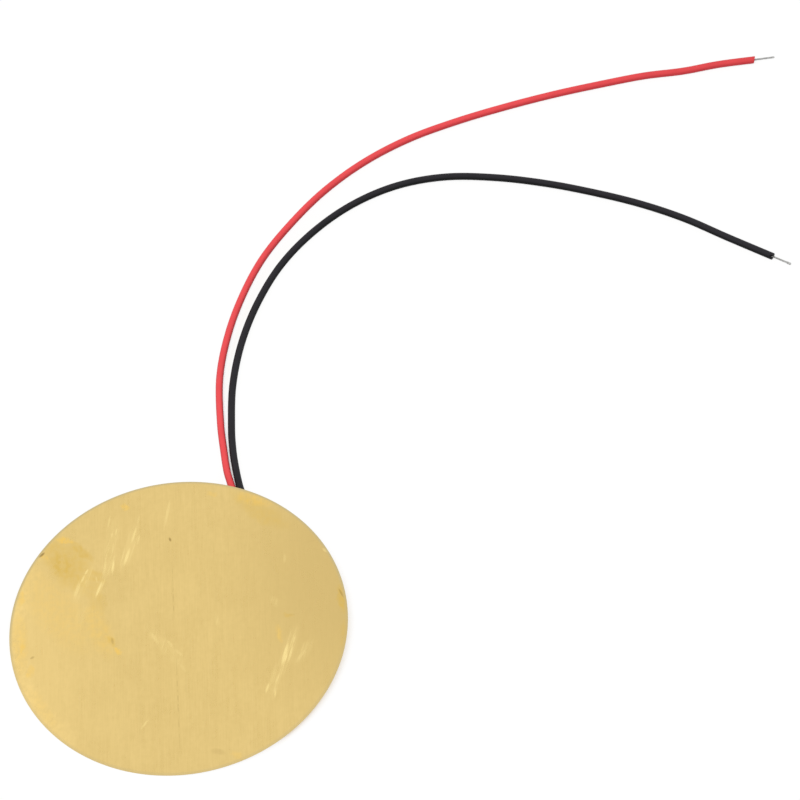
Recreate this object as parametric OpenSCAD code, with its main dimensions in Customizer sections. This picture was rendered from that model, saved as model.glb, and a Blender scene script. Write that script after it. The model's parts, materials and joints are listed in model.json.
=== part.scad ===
// Piezo disc: a brass diaphragm with a silvered ceramic bonded to one face and two soldered leads.
// It lies brass side up, as it comes to rest: one edge and both solder domes touch the table.
// Lengths are in mm. +Z is up, +Y is the way the leads leave the rim,
// and the origin is on the table under the middle of the brass.

/* [Brass disc] */
// Diameter of the brass disc
disc_d = 50; // [42:0.5:60]
// Thickness of the brass sheet
disc_t = 0.25; // [0.15:0.01:0.5]
// Radius of the upper edge, rolled over by the punch
disc_edge_r = 0.08; // [0.02:0.01:0.12]

/* [Ceramic] */
// Diameter of the ceramic disc
ceramic_d = 25; // [20:0.5:28]
// Thickness of the ceramic disc
ceramic_t = 0.23; // [0.15:0.01:0.5]
// Width of bare ceramic round the free electrode
electrode_margin = 0.8; // [0.3:0.05:1.5]
// Thickness of each fired silver film
electrode_t = 0.01; // [0.005:0.001:0.03]
// Thickness of the adhesive film
adhesive_t = 0.02; // [0.01:0.002:0.06]
// Width of the adhesive squeezed out round the ceramic
adhesive_spill = 0.3; // [0.1:0.05:0.8]

/* [Solder joints] */
// Direction of the joints from the middle of the disc, from +X towards +Y
joint_azimuth = 55; // [45:1:65]
// Radius of a solder dome's rounded top
solder_cap_r = 1.3; // [1.1:0.05:1.6]
// Radius of the hollow foot where the solder wets the metal
solder_foot_r = 0.4; // [0.2:0.05:0.6]
// Height of the red lead's solder dome
red_solder_h = 1.15; // [1:0.05:1.4]
// Distance from the red dome's foot to the edge of the free electrode
red_joint_inset = 0.2; // [0.1:0.05:1]
// Turn of the red joint round the disc from the joints' direction
red_joint_turn = 17; // [10:1:25]
// Distance from the adhesive's edge to the black dome's foot
black_joint_gap = 0.2; // [0.1:0.05:1]
// Turn of the black joint round the disc from the joints' direction
black_joint_turn = -14; // [-20:1:-10]

/* [Leads] */
// Outer diameter of the insulation
insulation_d = 1.1; // [0.8:0.05:1.3]
// Diameter of the stranded conductor
conductor_d = 0.3; // [0.2:0.02:0.4]
// Heading of the red lead at its joint, from the joints' direction
red_lead_turn = 7; // [0:1:15]
// Heading of the black lead at its joint, from the joints' direction
black_lead_turn = 35; // [28:1:42]
// Bare conductor from the middle of a joint to the insulation
near_strip = 2.4; // [2.2:0.1:3]
// Conductor soldered in past the middle of a joint
solder_seat = 0.6; // [0.3:0.05:0.8]
// Straight insulated lead after the bare conductor
lead_straight = 2.5; // [2:0.1:3]
// Bare conductor at the red lead's free end
red_far_strip = 3.05; // [2:0.05:5]
// Bare conductor at the black lead's free end
black_far_strip = 3; // [2:0.1:5]

/* [Fits] */
// Air between the insulation and the face that its lead is soldered to
lead_gap = 0.05; // [0.02:0.01:0.1]
// Air between the two leads where they leave the rim
pair_gap = 0.25; // [0.1:0.01:0.4]
// Radial gap between the conductor and the insulation
sleeve_fit = 0.02; // [0.01:0.005:0.05]
// Radial gap between the conductor and the solder round it
solder_fit = 0.01; // [0.005:0.005:0.02]

/* [Hidden] */
$fn = 96;

disc_r = disc_d / 2;
ceramic_r = ceramic_d / 2;
conductor_r = conductor_d / 2;
insulation_r = insulation_d / 2;

// Faces of the stack below the underside of the brass, counted down
adhesive_z = -adhesive_t;
bonded_z = adhesive_z - electrode_t;
ceramic_z = bonded_z - ceramic_t;
free_z = ceramic_z - electrode_t;

// Places of the joints in the disc's own frame, whose +X is the joints' direction
solder_reach = solder_cap_r + solder_foot_r;
red_joint_r = ceramic_r - electrode_margin - solder_reach - red_joint_inset;
black_joint_r = ceramic_r + adhesive_spill + solder_reach + black_joint_gap;
red_joint = [red_joint_r * cos(red_joint_turn), red_joint_r * sin(red_joint_turn), free_z];
black_joint = [black_joint_r * cos(black_joint_turn), black_joint_r * sin(black_joint_turn), 0];

// The disc leans until the red dome touches the table, and the black dome is as high as the space left
red_cap_out = disc_r + red_joint.x;
red_cap_down = red_solder_h - free_z - solder_cap_r;
rest_tilt = asin(solder_cap_r / norm([red_cap_out, red_cap_down])) + atan2(red_cap_down, red_cap_out);
rim_lift = disc_r * sin(rest_tilt);
black_cap_out = disc_r + black_joint.x;
black_solder_h = solder_cap_r + (black_cap_out * sin(rest_tilt) - solder_cap_r) / cos(rest_tilt);

// Routes of the leads in plan: first under the disc, then on the table to the end of the insulation
red_under = [[7.7, 17.4], [10, 21.4]];
red_table = [[9.73, 24.4], [9.44, 26.8], [9.29, 30], [9.22, 36], [9.8, 44], [11.65, 51.45],
             [14.45, 58.45], [18.15, 65.05], [22.95, 70.9], [28.6, 76.35], [35.2, 80.95],
             [42.4, 84.35], [50, 86.6], [58, 88.3], [66, 89.6], [74, 90.5], [80, 91], [86, 91],
             [91.5, 91.45], [97.17, 91.5]];
black_under = [[11.3, 17.6], [11.5, 21.2]];
pair_pitch = [insulation_d + pair_gap, 0];
black_table = [red_table[0] + pair_pitch, red_table[1] + pair_pitch, [10.63, 30.5], [10.81, 35],
               [11.66, 42.45], [13.65, 49.95], [16.75, 57.05], [20.95, 63.6], [26.35, 69], [32.7, 73.2],
               [39.8, 75.75], [47.3, 76.3], [55, 75], [62.6, 72.7], [69.8, 69.8], [76.5, 66.6],
               [82.75, 62.85], [88.65, 58.45], [95.05, 53.8]];
// Step from a conductor's round bare ends down to its length in the sleeve
core_step = 0.01;
// Height that is left to fall at the points under the disc
descent_shares = [0.5, 0.12];
lead_sides = 8;
rings_per_span = 2;
arc_steps = 8;

function unit(v) = v / norm(v);

// A point of the disc's own frame, moved to where the disc rests
function resting_point(p) =
    let (x = p.x * cos(rest_tilt) - p.z * sin(rest_tilt),
         z = p.x * sin(rest_tilt) + p.z * cos(rest_tilt) + rim_lift)
    [x * cos(joint_azimuth) - p.y * sin(joint_azimuth),
     x * sin(joint_azimuth) + p.y * cos(joint_azimuth),
     z];

// A point on the axis of a lead at its joint, a distance out from the joint's middle
function lead_point(joint, turn, out) =
    resting_point(joint + [out * cos(turn), out * sin(turn), -insulation_r - lead_gap]);

// The whole route: the soldered end, the lead down to the table and a last point past the insulation
function lead_route(joint, turn, under, table, far_strip) =
    let (clear = lead_point(joint, turn, near_strip + lead_straight),
         fall = clear.z - insulation_r,
         down = [for (i = [0 : len(under) - 1])
                 [under[i].x, under[i].y, insulation_r + fall * descent_shares[i]]],
         flat = [for (p = table) [p.x, p.y, insulation_r]],
         end = flat[len(flat) - 1],
         heading = unit(end - flat[len(flat) - 2]))
    concat([lead_point(joint, turn, -solder_seat), lead_point(joint, turn, near_strip), clear],
           down, flat, [end + far_strip * heading]);

// A point on the smooth span from b to c, with a and d as its neighbours
function span_point(a, b, c, d, t) =
    b + (c - a) * t / 2 + (2 * a - 5 * b + 4 * c - d) * t ^ 2 / 2 + (3 * b - a - 3 * c + d) * t ^ 3 / 2;

// Ring centres of the insulated length, none below the table: the route's two end points only steer it
function lead_line(route) =
    concat([for (i = [0 : len(route) - 4], s = [0 : rings_per_span - 1])
            let (p = span_point(route[i], route[i + 1], route[i + 2], route[i + 3], s / rings_per_span))
            [p.x, p.y, max(p.z, insulation_r)]],
           [route[len(route) - 2]]);

// Directions of the line at its rings, true to the bare conductor at both ends
function lead_dirs(route, line) =
    let (last = len(line) - 1)
    [for (i = [0 : last])
        i == 0 ? unit(route[1] - route[0]) :
        i == last ? unit(route[len(route) - 1] - route[len(route) - 2]) :
        unit(line[i + 1] - line[i - 1])];

// Points of all rings of radius r, one corner of each ring straight down
function lead_rings(route, r) =
    let (line = lead_line(route), dirs = lead_dirs(route, line))
    [for (i = [0 : len(line) - 1])
        let (side = unit(cross(dirs[i], [0, 0, 1])), top = cross(side, dirs[i]))
        for (k = [0 : lead_sides - 1])
            line[i] + r * cos(360 * k / lead_sides) * side + r * sin(360 * k / lead_sides) * top];

// Triangles of a skin over the rings whose points start at first, facing in or out
function skin(rings, first, inward) =
    [for (i = [0 : rings - 2], k = [0 : lead_sides - 1])
        let (next = (k + 1) % lead_sides,
             a = first + i * lead_sides + k,
             b = first + i * lead_sides + next,
             c = b + lead_sides,
             d = a + lead_sides)
        each inward ? [[c, b, a], [d, c, a]] : [[a, b, c], [a, c, d]]];

// Triangles of the flat ring between an outer and an inner circle of points
function end_ring(outer, inner, at_start) =
    [for (k = [0 : lead_sides - 1])
        let (next = (k + 1) % lead_sides,
             a = outer + k,
             b = outer + next,
             c = inner + next,
             d = inner + k)
        each at_start ? [[b, a, d], [b, d, c]] : [[a, b, c], [a, c, d]]];

// Half section of a solder dome standing on z = 0: a round top that runs out into a hollow foot
function solder_section(h) =
    let (cap_z = h - solder_cap_r,
         sweep = acos((solder_foot_r - cap_z) / solder_reach),
         foot = solder_reach * sin(sweep))
    concat([[0, 0]],
           [for (i = [0 : arc_steps]) let (a = sweep * i / arc_steps)
            [foot - solder_foot_r * sin(a), solder_foot_r * (1 - cos(a))]],
           [for (i = [arc_steps - 1 : -1 : 0]) let (a = sweep * i / arc_steps)
            [solder_cap_r * sin(a), cap_z + solder_cap_r * cos(a)]]);

// Half section of the brass: square below, rolled over above
function disc_section() =
    concat([[0, 0], [disc_r, 0]],
           [for (i = [0 : arc_steps]) let (a = 90 * i / arc_steps)
            [disc_r - disc_edge_r * (1 - cos(a)), disc_t - disc_edge_r * (1 - sin(a))]],
           [[0, disc_t]]);

red_route = lead_route(red_joint, red_lead_turn, red_under, red_table, red_far_strip);
black_route = lead_route(black_joint, black_lead_turn, black_under, black_table, black_far_strip);

// Puts what is built in the disc's own frame where the disc rests
module resting()
    rotate([0, 0, joint_azimuth]) translate([0, 0, rim_lift]) rotate([0, -rest_tilt, 0]) children();

// A round bar from one point to another
module bar(from, to, r) {
    run = to - from;
    translate(from)
        rotate([0, acos(run.z / norm(run)), atan2(run.y, run.x)])
            cylinder(r = r, h = norm(run));
}

module layer(d, bottom, top)
    resting() translate([0, 0, bottom]) cylinder(d = d, h = top - bottom);

module solder_joint(joint, turn, h)
    color([0.78, 0.78, 0.79])
        resting() translate(joint) difference() {
            mirror([0, 0, 1]) rotate_extrude() polygon(solder_section(h));
            translate([0, 0, -insulation_r - lead_gap]) rotate([0, 90, turn])
                translate([0, 0, -solder_seat - solder_fit])
                    cylinder(r = conductor_r + solder_fit, h = solder_seat + near_strip);
        }

module insulation(route) {
    rings = len(lead_line(route));
    inner = rings * lead_sides;
    tail = inner - lead_sides;
    polyhedron(concat(lead_rings(route, insulation_r), lead_rings(route, conductor_r + sleeve_fit)),
               concat(skin(rings, 0, false), skin(rings, inner, true),
                      end_ring(0, inner, true), end_ring(tail, inner + tail, false)));
}

module conductor(route)
    color([0.72, 0.72, 0.74]) {
        rings = len(lead_line(route));
        tail = (rings - 1) * lead_sides;
        polyhedron(lead_rings(route, conductor_r - core_step),
                   concat(skin(rings, 0, false),
                          [[for (k = [lead_sides - 1 : -1 : 0]) k]],
                          [[for (k = [0 : lead_sides - 1]) tail + k]]));
        bar(route[0], route[1], conductor_r);
        bar(route[len(route) - 2], route[len(route) - 1], conductor_r);
    }

module brass_disc() color([0.87, 0.72, 0.4]) resting() rotate_extrude() polygon(disc_section());
module adhesive_film() color([0.75, 0.66, 0.45]) layer(ceramic_d + 2 * adhesive_spill, adhesive_z, 0);
module bonded_electrode() color([0.8, 0.8, 0.78]) layer(ceramic_d, bonded_z, adhesive_z);
module ceramic_disc() color([0.66, 0.62, 0.53]) layer(ceramic_d, ceramic_z, bonded_z);
module free_electrode() color([0.85, 0.85, 0.83]) layer(ceramic_d - 2 * electrode_margin, free_z, ceramic_z);
module red_solder_joint() solder_joint(red_joint, red_lead_turn, red_solder_h);
module black_solder_joint() solder_joint(black_joint, black_lead_turn, black_solder_h);
module red_insulation() color([0.86, 0.16, 0.18]) insulation(red_route);
module red_conductor() conductor(red_route);
module black_insulation() color([0.1, 0.1, 0.11]) insulation(black_route);
module black_conductor() conductor(black_route);

brass_disc();
adhesive_film();
bonded_electrode();
ceramic_disc();
free_electrode();
red_solder_joint();
black_solder_joint();
red_insulation();
red_conductor();
black_insulation();
black_conductor();
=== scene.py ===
"""Dresses the solids of a piezo disc: a brass diaphragm, its silvered ceramic and two soldered leads.

The file is laid out as an add-on and run as a script. Lengths are in metres, in the part's own frame:
+Z up from the table, +Y the way the leads leave the rim, the origin under the middle of the brass.
"""

import json
import math
import random
from collections import namedtuple
from functools import cached_property, reduce

import bmesh
import bpy
from bpy.props import FloatProperty, FloatVectorProperty, IntProperty, PointerProperty
from mathutils import Matrix, Vector, noise


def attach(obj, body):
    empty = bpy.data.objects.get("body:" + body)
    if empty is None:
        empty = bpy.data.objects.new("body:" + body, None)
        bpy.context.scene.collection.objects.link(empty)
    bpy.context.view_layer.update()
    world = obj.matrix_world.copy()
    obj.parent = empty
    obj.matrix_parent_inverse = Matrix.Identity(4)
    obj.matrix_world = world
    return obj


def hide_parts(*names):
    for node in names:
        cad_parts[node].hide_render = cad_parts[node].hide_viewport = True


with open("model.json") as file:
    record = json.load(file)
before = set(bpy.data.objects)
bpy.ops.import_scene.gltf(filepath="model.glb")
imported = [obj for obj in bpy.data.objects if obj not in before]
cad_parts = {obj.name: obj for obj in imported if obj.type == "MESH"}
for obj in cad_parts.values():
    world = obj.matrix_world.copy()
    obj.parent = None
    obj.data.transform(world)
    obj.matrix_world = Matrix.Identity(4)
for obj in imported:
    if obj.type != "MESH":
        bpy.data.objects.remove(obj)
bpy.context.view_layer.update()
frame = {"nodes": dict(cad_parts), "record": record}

bl_info = {
    "name": "Piezo disc",
    "version": (1, 0, 0),
    "blender": (4, 5, 0),
    "location": "View3D > Sidebar > Piezo disc",
    "description": "Dresses the solids of a piezo disc and sets its stage",
    "category": "Object",
}

MM = 0.001
NODES = frame["nodes"]
INSULATION_R = 0.55 * MM
# At a joint: from the pad down to the wire's axis, and the bare wire outside and inside the dome
DOWN_TO_AXIS = 0.6 * MM
NEAR_STRIP = 2.4 * MM
SOLDER_SEAT = 0.6 * MM


def lead_route(under, table):
    """A lead's route from millimetres; on the table it keeps the height of the insulation's axis."""
    down = [Vector([c * MM for c in p]) for p in under]
    return down + [Vector((x * MM, y * MM, INSULATION_R)) for x, y in table]


# Routes of the leads as in the part's source: the soldered end, the start of the insulation and the way
# down under the disc, then the table up to the end of the insulation and the end of the bare tip.
# The first and the last point only steer the insulation.
RED_ROUTE = lead_route(
    ((2.763, 8.814, 0.526), (4.17, 11.461, 0.649), (5.342, 13.666, 0.752), (7.7, 17.4, 0.651),
     (10, 21.4, 0.574)),
    ((9.73, 24.4), (9.44, 26.8), (9.29, 30), (9.22, 36), (9.8, 44), (11.65, 51.45), (14.45, 58.45),
     (18.15, 65.05), (22.95, 70.9), (28.6, 76.35), (35.2, 80.95), (42.4, 84.35), (50, 86.6), (58, 88.3),
     (66, 89.6), (74, 90.5), (80, 91), (86, 91), (91.5, 91.45), (97.17, 91.5), (100.22, 91.527)))
BLACK_ROUTE = lead_route(
    ((11.102, 9.055, 1.002), (11.101, 12.053, 1.104), (11.099, 14.552, 1.188), (11.3, 17.6, 0.869),
     (11.5, 21.2, 0.627)),
    ((11.08, 24.4), (10.79, 26.8), (10.63, 30.5), (10.81, 35), (11.66, 42.45), (13.65, 49.95),
     (16.75, 57.05), (20.95, 63.6), (26.35, 69), (32.7, 73.2), (39.8, 75.75), (47.3, 76.3), (55, 75),
     (62.6, 72.7), (69.8, 69.8), (76.5, 66.6), (82.75, 62.85), (88.65, 58.45), (95.05, 53.8),
     (97.477, 52.037)))

# slant: how far the far cut runs on towards the lead's side and its top
# notch: the angle and the depth of the nick that the stripper left, tin: swelling of the tinned tip
# fade: how far the painted highlight on the top of the insulation wanes towards the tip
# press: how far the lead gives way to the right where the rim squeezes it against the other one
Lead = namedtuple("Lead", "colour route length slant notch tin fade press")
LEADS = (
    Lead("red", RED_ROUTE, 0.1440, (-0.15 * MM, 0.07 * MM), (2.2, 0.08 * MM), 0.9, 0.3, 0.08 * MM),
    Lead("black", BLACK_ROUTE, 0.1378, (-0.02 * MM, 0.02 * MM), (0.78, 0.5 * MM), 1.25, -0.15, -0.08 * MM),
)

# Marks on the brass face in its plan, in millimetres: start, end, half width, strength
BRIGHT_SCUFFS = (
    ((-4.6, 18.4), (-5.9, 14.9), 0.32, 0.6), ((-5.9, 14.8), (-7.2, 11.4), 0.34, 0.95),
    ((-4.3, 16.8), (-4.9, 14.9), 0.22, 0.5), ((-4.1, 20.0), (-4.6, 18.5), 0.26, 0.3),
    ((-6.5, 15.4), (-7.9, 10.9), 0.15, 0.5), ((-7.6, 18.4), (-8.0, 17.0), 0.17, 0.7),
    ((-8.3, 17.8), (-8.6, 16.7), 0.16, 0.55), ((-8.4, 20.8), (-9.0, 18.5), 0.2, 0.45),
    ((-8.2, 16.4), (-8.9, 13.2), 0.15, 0.45), ((-8.5, 13.1), (-9.0, 10.3), 0.28, 0.75),
    ((-9.6, 13.0), (-10.3, 10.4), 0.22, 0.65), ((-9.2, 15.2), (-10.6, 9.6), 0.14, 0.4),
    ((-10.4, 9.7), (-11.8, 6.7), 0.3, 1.0), ((-9.9, 10.2), (-10.9, 7.9), 0.14, 0.5),
    ((-11.4, 10.5), (-11.3, 9.3), 0.18, 0.4), ((-12.4, 11.9), (-13.0, 11.0), 0.2, 0.85),
    ((-13.0, 11.0), (-13.7, 9.6), 0.22, 0.85), ((-12.8, 10.1), (-13.1, 9.3), 0.2, 0.5),
    ((-13.7, 10.0), (-14.9, 7.2), 0.42, 0.55), ((0.8, 22.6), (-0.7, 16.9), 0.3, 0.4),
    ((-5.5, -14.9), (-7.0, -16.6), 0.22, 0.45), ((15.9, -5.0), (14.4, -9.3), 0.42, 1.0),
    ((15.4, -6.7), (14.9, -8.5), 0.4, 1.0), ((16.5, -5.6), (15.4, -8.9), 0.26, 0.75),
    ((17.0, -4.1), (16.4, -5.7), 0.24, 0.5), ((14.1, -10.1), (13.2, -12.1), 0.26, 0.45),
    ((12.4, -11.6), (11.7, -13.3), 0.28, 0.7), ((13.2, -12.4), (13.0, -14.3), 0.24, 0.5),
    ((18.4, -6.6), (16.5, -8.9), 0.4, 0.4), ((-4.3, -0.2), (-2.9, -2.8), 0.42, 0.36),
    ((-1.8, -2.2), (-1.1, -3.5), 0.36, 0.34), ((-0.8, -3.9), (0.2, -5.2), 0.36, 0.28),
    ((-0.3, -6.4), (0.4, -7.8), 0.36, 0.22), ((22.4, 9.9), (23.1, 9.2), 0.35, 0.5),
    ((16.7, 9.9), (16.5, 8.4), 0.3, 0.25),
)
SCUFF_HAZES = (
    ((-4.4, 18.9), (-7.6, 10.6), 1.1, 0.6), ((-7.7, 19.7), (-9.4, 13.0), 1.2, 0.4),
    ((-8.4, 14.1), (-10.7, 9.4), 1.1, 0.5), ((-11.8, 12.2), (-15.0, 6.6), 1.2, 0.6),
    ((-10.2, 10.0), (-12.1, 6.5), 0.8, 0.45), ((17.3, -2.5), (13.9, -11.1), 1.3, 0.6),
    ((19.1, -5.6), (16.6, -8.9), 1.2, 0.4), ((13.9, -8.7), (12.2, -14.6), 1.1, 0.4),
    ((-5.0, 1.4), (0.6, -7.8), 1.2, 0.36), ((-13.4, 5.3), (-14.6, 3.0), 1.2, 0.35),
    ((14.2, 2.6), (14.7, 1.4), 0.8, 0.4), ((5.6, 1.6), (5.8, -0.9), 0.5, 0.35),
)
DARK_LINES = (
    ((0.1, 12.6), (-0.7, -1.6), 0.18, 0.75), ((-0.6, -2.3), (-1.7, -24.4), 0.18, 0.7),
    ((22.8, 11.5), (19.6, 11.5), 0.16, 0.6), ((16.1, -0.7), (18.0, -0.6), 0.16, 0.7),
    ((17.0, 12.3), (19.8, 11.6), 0.16, 0.4), ((20.0, 10.3), (23.0, 9.6), 0.16, 0.4),
)
DARK_SPECKS = (
    ((-19.5, 15.1), (-18.7, 15.7), 0.28, 1.0), ((0.0, 15.3), (0.1, 14.8), 0.24, 0.85),
    ((-22.0, -2.1), (-21.6, -1.9), 0.28, 0.45), ((-9.9, -0.5), (-9.8, -1.5), 0.26, 0.4),
    ((24.0, 2.8), (24.6, 1.0), 0.22, 0.5), ((3.3, -21.7), (4.7, -22.3), 0.7, 0.2),
)
AMBER_STAINS = (
    ((-9.4, -2.5), (-8.9, -3.2), 0.6, 0.9), ((10.6, 21.1), (15.4, 18.9), 1.3, 0.45),
    ((-6.6, 22.0), (-5.8, 21.5), 0.6, 0.7), ((6.5, 22.2), (7.3, 21.7), 0.6, 0.5),
    ((-16.4, 17.7), (-14.6, 17.0), 0.8, 0.9), ((14.5, -2.4), (14.7, -4.9), 0.7, 0.4),
    ((-12.8, 5.2), (-10.6, -3.0), 2.4, 0.35), ((-23.2, 6.5), (-23.5, -4.5), 1.5, 0.35),
    ((-22.6, -7.0), (-19.2, -14.8), 1.2, 0.2), ((-21.0, 11.5), (-14.2, -0.8), 4.6, 0.22),
    ((6.1, -22.6), (7.0, -23.5), 0.8, 0.3), ((-22.5, 9.2), (-22.8, 7.4), 0.7, 0.6),
    ((-22.7, 1.3), (-23.5, -1.3), 0.5, 0.7), ((-22.0, -3.5), (-22.6, -5.0), 0.8, 0.5),
    ((-19.0, 15.2), (-18.3, 14.4), 0.5, 0.7),
)
TARNISH_PATCHES = (
    ((-17.2, 15.2), (-15.2, 10.7), 2.2, 0.85), ((-17.8, 16.9), (-12.8, 9.0), 3.6, 0.6),
    ((-14.6, 16.6), (-12.1, 13.4), 1.1, 0.8), ((-12.0, 11.7), (-10.8, 9.4), 1.0, 0.55),
    ((-12.2, 10.2), (-11.0, 4.0), 1.6, 0.35), ((9.9, 21.6), (17.4, 14.4), 2.0, 0.45),
)
TARNISH_SPOTS = (
    ((24.1, 3.0), (24.6, -1.4), 0.9, 1.0), ((24.4, -2.8), (23.8, -7.8), 0.9, 0.4),
    ((15.6, -0.5), (17.0, -0.8), 0.5, 0.6), ((-10.3, -0.3), (-9.7, -1.9), 0.7, 0.7),
)


def resting_frame():
    """The disc's own axes: x towards the joints, z out of the brass face, the origin on that face."""
    mount = next(m for m in frame["record"]["mounts"] if m["name"] == "brass_face")
    up = Vector(mount["axis"]).normalized()
    rise = Vector((-up.x, -up.y, 0))
    out = (rise - up * rise.dot(up)).normalized()
    place = Matrix((out, up.cross(out), up)).transposed().to_4x4()
    place.translation = Vector(mount["pos_m"])
    return place


DISC = resting_frame()
UP = DISC.col[2].xyz
ROOT = "root"


def own_points(node):
    """The points of a CAD node in the disc's own axes."""
    to_disc = DISC.inverted()
    return [to_disc @ v.co for v in NODES[node].data.vertices]


def round_size(node):
    """Radius, lower face and upper face of a CAD node that is round about the disc's axis."""
    points = own_points(node)
    heights = [p.z for p in points]
    return max(p.xy.length for p in points), min(heights), max(heights)


DISC_R, DISC_UNDER, DISC_TOP = round_size("brass_disc")


def eased(low, high, value):
    """0 at low and beyond it, 1 at high and beyond it, smooth between; low may be the greater one."""
    t = min(max((value - low) / (high - low), 0.0), 1.0)
    return t * t * (3 - 2 * t)


def wander(angle, seed, lobes):
    """Smooth noise from -1 to 1 round a circle."""
    return noise.noise(Vector((lobes * math.cos(angle), lobes * math.sin(angle), seed)))


class Shell:
    """Points and faces of a piece as it is put together from rings."""

    def __init__(self):
        self.points = []
        self.faces = []

    def ring(self, points):
        start = len(self.points)
        self.points.extend(points)
        return list(range(start, len(self.points)))

    def band(self, a, b):
        count = len(a)
        for k in range(count):
            n = (k + 1) % count
            self.faces.append((a[k], a[n], b[n], b[k]))

    def cap(self, ring, point):
        pole = self.ring([point])[0]
        count = len(ring)
        for k in range(count):
            self.faces.append((ring[k], ring[(k + 1) % count], pole))

    def chain(self, rings, closed=False):
        for a, b in zip(rings, rings[1:]):
            self.band(a, b)
        if closed:
            self.band(rings[-1], rings[0])

    def mesh(self):
        mesh = bpy.data.meshes.new("shell")
        mesh.from_pydata([tuple(p) for p in self.points], [], self.faces)
        shape = bmesh.new()
        shape.from_mesh(mesh)
        bmesh.ops.recalc_face_normals(shape, faces=shape.faces)
        shape.to_mesh(mesh)
        shape.free()
        return mesh


def angles(count):
    """The angles of the points of a ring."""
    return [math.tau * k / count for k in range(count)]


def on_disc(angle, r, z):
    """A place that is given round the disc's own axis."""
    return DISC @ Vector((r * math.cos(angle), r * math.sin(angle), z))


def turned(profile, segments, shape):
    """A closed turned form; profile runs from pole to pole as (radius, z), shape(angle, r, z) bends it."""
    shell = Shell()
    rings = [shell.ring([shape(a, r, z) for a in angles(segments)]) for r, z in profile[1:-1]]
    shell.chain(rings)
    shell.cap(rings[0], shape(0, *profile[0]))
    shell.cap(rings[-1], shape(0, *profile[-1]))
    return shell


def put(name, data):
    """A new object in the scene."""
    thing = bpy.data.objects.new(name, data)
    bpy.context.scene.collection.objects.link(thing)
    return thing


def add_piece(name, mesh, finishes, node, crease=35):
    """Puts a piece in the scene in place of a CAD node, riding on the one body."""
    mesh.name = name
    mesh.shade_smooth()
    mesh.set_sharp_from_angle(angle=math.radians(crease))
    for finish in finishes:
        mesh.materials.append(finish)
    piece = put(name, mesh)
    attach(piece, ROOT)
    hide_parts(node)
    return piece


class Shade:
    """A socket of a node tree; Python's operators on it add Math nodes."""

    def __init__(self, nodes, socket):
        self.nodes = nodes
        self.socket = socket

    def math(self, operation, *values):
        return self.nodes.add("Math", {"operation": operation}, dict(enumerate(values)))

    def __add__(self, other):
        return self.math("ADD", self, other)

    def __sub__(self, other):
        return self.math("SUBTRACT", self, other)

    def __rsub__(self, other):
        return self.math("SUBTRACT", other, self)

    def __mul__(self, other):
        return self.math("MULTIPLY", self, other)

    __radd__ = __add__
    __rmul__ = __mul__

    def most(self, other):
        return self.math("MAXIMUM", self, other)

    def step(self, low, high, top=1.0):
        """0 at low, top at high, smooth between; low may be the greater one."""
        return self.nodes.add(
            "MapRange",
            {"interpolation_type": "SMOOTHSTEP", "clamp": True},
            {"Value": self, "From Min": low, "From Max": high, "To Min": 0.0, "To Max": top},
        )


# A size that takes the height out of a plan
FAR = 1000.0
WHITE = (1.0, 1.0, 1.0)


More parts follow.
